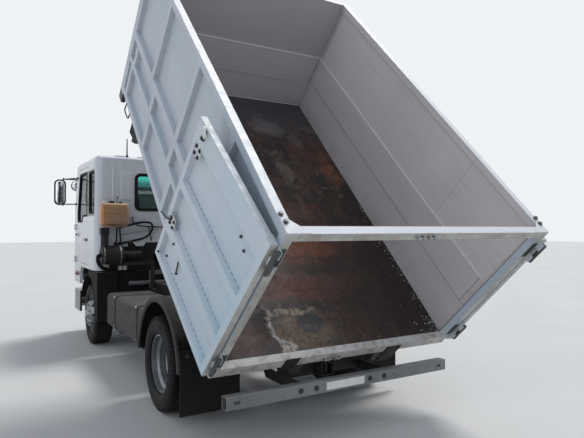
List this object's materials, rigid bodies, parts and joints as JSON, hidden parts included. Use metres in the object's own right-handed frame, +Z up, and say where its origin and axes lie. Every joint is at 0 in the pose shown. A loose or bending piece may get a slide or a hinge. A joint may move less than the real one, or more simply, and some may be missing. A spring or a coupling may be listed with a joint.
{
  "type": "tipping dump truck",
  "caption": "Two-axle cab-over tipping truck with a tall ribbed box bed, raised by an underbody telescopic hoist, and a pair of barn doors folded back along its sides.",
  "frame": {"origin": "on the ground, under the middle of the whole truck's box", "axes": "+X forward, +Y to the truck's left, +Z up"},
  "size_m": [6.786, 2.864, 4.231],
  "materials": {
    "white_paint": "gloss",
    "bed_paint": "satin",
    "bed_floor_steel": "rough",
    "chassis_black": "satin",
    "cast_parts": "rough",
    "spring_steel": "rough",
    "tank_grey": "satin",
    "black_plastic": "matte",
    "bumper_white": "gloss",
    "bar_grey": "satin",
    "rim_silver": "satin",
    "tyre_rubber": "matte",
    "glass": "clear",
    "seat_cloth": "woven",
    "interior_plastic": "matte",
    "amber_plastic": "translucent",
    "hoist_steel": "satin",
    "hoist_chrome": "polished"
  },
  "bodies": {
    "chassis": {"chassis_rails": "chassis_black", "chassis_crossmembers": "chassis_black", "bed_subframe": "chassis_black", "cab_pivots": "chassis_black", "engine_block": "cast_parts", "front_axle_beam": "cast_parts", "rear_axle_housing": "cast_parts", "leaf_springs": "spring_steel", "propeller_shaft": "spring_steel", "fuel_tank": "tank_grey", "tank_straps": "chassis_black", "battery_box": "chassis_black", "air_tanks": "chassis_black", "exhaust_muffler": "spring_steel", "rear_mudguards": "black_plastic", "front_mudguards": "black_plastic", "front_bumper": "bumper_white", "underrun_bar": "bar_grey", "air_cleaner": "black_plastic"},
    "cab": {"cab_floor": "white_paint", "cab_back_wall": "white_paint", "cab_side_frames": "white_paint", "cab_roof": "white_paint", "cab_front_panel": "white_paint", "cab_glass": "glass", "seats": "seat_cloth", "dashboard": "interior_plastic", "mirrors": "black_plastic", "coolant_tank": "amber_plastic"},
    "steering_wheel": {"steering_wheel": "interior_plastic"},
    "bed": {"bed_floor": "bed_floor_steel", "bed_side_left": "bed_paint", "bed_side_right": "bed_paint", "bed_front_wall": "bed_paint", "bed_crossbar": "bed_paint"},
    "hoist_barrel": {"hoist_barrel": "hoist_steel"},
    "hoist_stage_1": {"hoist_stage_1": "hoist_steel"},
    "hoist_stage_2": {"hoist_stage_2": "hoist_steel"},
    "hoist_rod": {"hoist_rod": "hoist_chrome"},
    "cab_door_left": {"cab_door_left": "white_paint", "door_glass_left": "glass"},
    "knuckle_left": {"knuckle_left": "chassis_black"},
    "front_wheel_left": {"front_rim_left": "rim_silver", "front_tyre_left": "tyre_rubber"},
    "rear_wheels_left": {"rear_rims_left": "rim_silver", "rear_tyres_left": "tyre_rubber"},
    "tail_door_left": {"tail_door_left": "bed_paint"},
    "cab_door_right": {"cab_door_right": "white_paint", "door_glass_right": "glass"},
    "knuckle_right": {"knuckle_right": "chassis_black"},
    "front_wheel_right": {"front_rim_right": "rim_silver", "front_tyre_right": "tyre_rubber"},
    "rear_wheels_right": {"rear_rims_right": "rim_silver", "rear_tyres_right": "tyre_rubber"},
    "tail_door_right": {"tail_door_right": "bed_paint"}
  },
  "joints": [
    {"name": "bed_tip", "type": "hinge", "parent": "chassis", "child": "bed", "pos_m": [-1.81, 0, 0.88063], "axis": [0, -1, 0], "range_deg": [-46.34, 0]},
    {"name": "cab_tilt", "type": "hinge", "parent": "chassis", "child": "cab", "pos_m": [3.10905, 0, 0.86], "axis": [0, 1, 0], "range_deg": [0, 45]},
    {"name": "cab_door_left_hinge", "type": "hinge", "parent": "cab", "child": "cab_door_left", "pos_m": [3.01905, 1.148, 1.15], "axis": [0, 0, -1], "range_deg": [0, 70]},
    {"name": "steer_left", "type": "hinge", "parent": "chassis", "child": "knuckle_left", "pos_m": [2.13405, 0.79, 0.42], "axis": [0, 0, 1], "range_deg": [-33, 33]},
    {"name": "front_wheel_left_spin", "type": "hinge", "parent": "knuckle_left", "child": "front_wheel_left", "pos_m": [2.13405, 0.9695, 0.42], "axis": [0, 1, 0], "continuous": true},
    {"name": "rear_wheels_left_spin", "type": "hinge", "parent": "chassis", "child": "rear_wheels_left", "pos_m": [-1.11095, 0.88, 0.42], "axis": [0, 1, 0], "continuous": true},
    {"name": "tail_door_left_hinge", "type": "hinge", "parent": "bed", "child": "tail_door_left", "pos_m": [-2.8526, 1.182, 1.03377], "axis": [-0.7234, 0, 0.6904], "range_deg": [-4.4, 265.6]},
    {"name": "cab_door_right_hinge", "type": "hinge", "parent": "cab", "child": "cab_door_right", "pos_m": [3.01905, -1.148, 1.15], "axis": [0, 0, 1], "range_deg": [0, 70]},
    {"name": "steer_right", "type": "hinge", "parent": "chassis", "child": "knuckle_right", "pos_m": [2.13405, -0.79, 0.42], "axis": [0, 0, 1], "range_deg": [-33, 33]},
    {"name": "front_wheel_right_spin", "type": "hinge", "parent": "knuckle_right", "child": "front_wheel_right", "pos_m": [2.13405, -0.9695, 0.42], "axis": [0, 1, 0], "continuous": true},
    {"name": "rear_wheels_right_spin", "type": "hinge", "parent": "chassis", "child": "rear_wheels_right", "pos_m": [-1.11095, -0.88, 0.42], "axis": [0, 1, 0], "continuous": true},
    {"name": "tail_door_right_hinge", "type": "hinge", "parent": "bed", "child": "tail_door_right", "pos_m": [-2.8526, -1.182, 1.03377], "axis": [0.7234, 0, -0.6904], "range_deg": [-4.4, 265.6]},
    {"name": "steering_wheel_turn", "type": "hinge", "parent": "cab", "child": "steering_wheel", "pos_m": [2.91405, -0.625, 1.44], "axis": [-0.4695, 0, 0.8829], "range_deg": [-600, 600]},
    {"name": "hoist_swing", "type": "hinge", "parent": "chassis", "child": "hoist_barrel", "pos_m": [-0.76095, 0, 0.66], "axis": [0, -1, 0], "range_deg": [-20.66, 0]},
    {"name": "hoist_slide_1", "type": "slide", "parent": "hoist_barrel", "child": "hoist_stage_1", "axis": [-0.3498, 0, 0.9368], "range_m": [-0.26745, 0]},
    {"name": "hoist_slide_2", "type": "slide", "parent": "hoist_stage_1", "child": "hoist_stage_2", "axis": [-0.3498, 0, 0.9368], "range_m": [-0.26745, 0]},
    {"name": "hoist_slide_3", "type": "slide", "parent": "hoist_stage_2", "child": "hoist_rod", "axis": [-0.3498, 0, 0.9368], "range_m": [-0.26745, 0]}
  ],
  "couplings": [
    {"joint": "steer_right", "follows": "steer_left", "ratio": 1},
    {"joint": "steering_wheel_turn", "follows": "steer_left", "ratio": 18},
    {"joint": "hoist_swing", "follows": "bed_tip", "ratio": 0.4457},
    {"joint": "hoist_slide_1", "follows": "bed_tip", "m_per_rad": 0.33056},
    {"joint": "hoist_slide_2", "follows": "bed_tip", "m_per_rad": 0.33056},
    {"joint": "hoist_slide_3", "follows": "bed_tip", "m_per_rad": 0.33056}
  ]
}
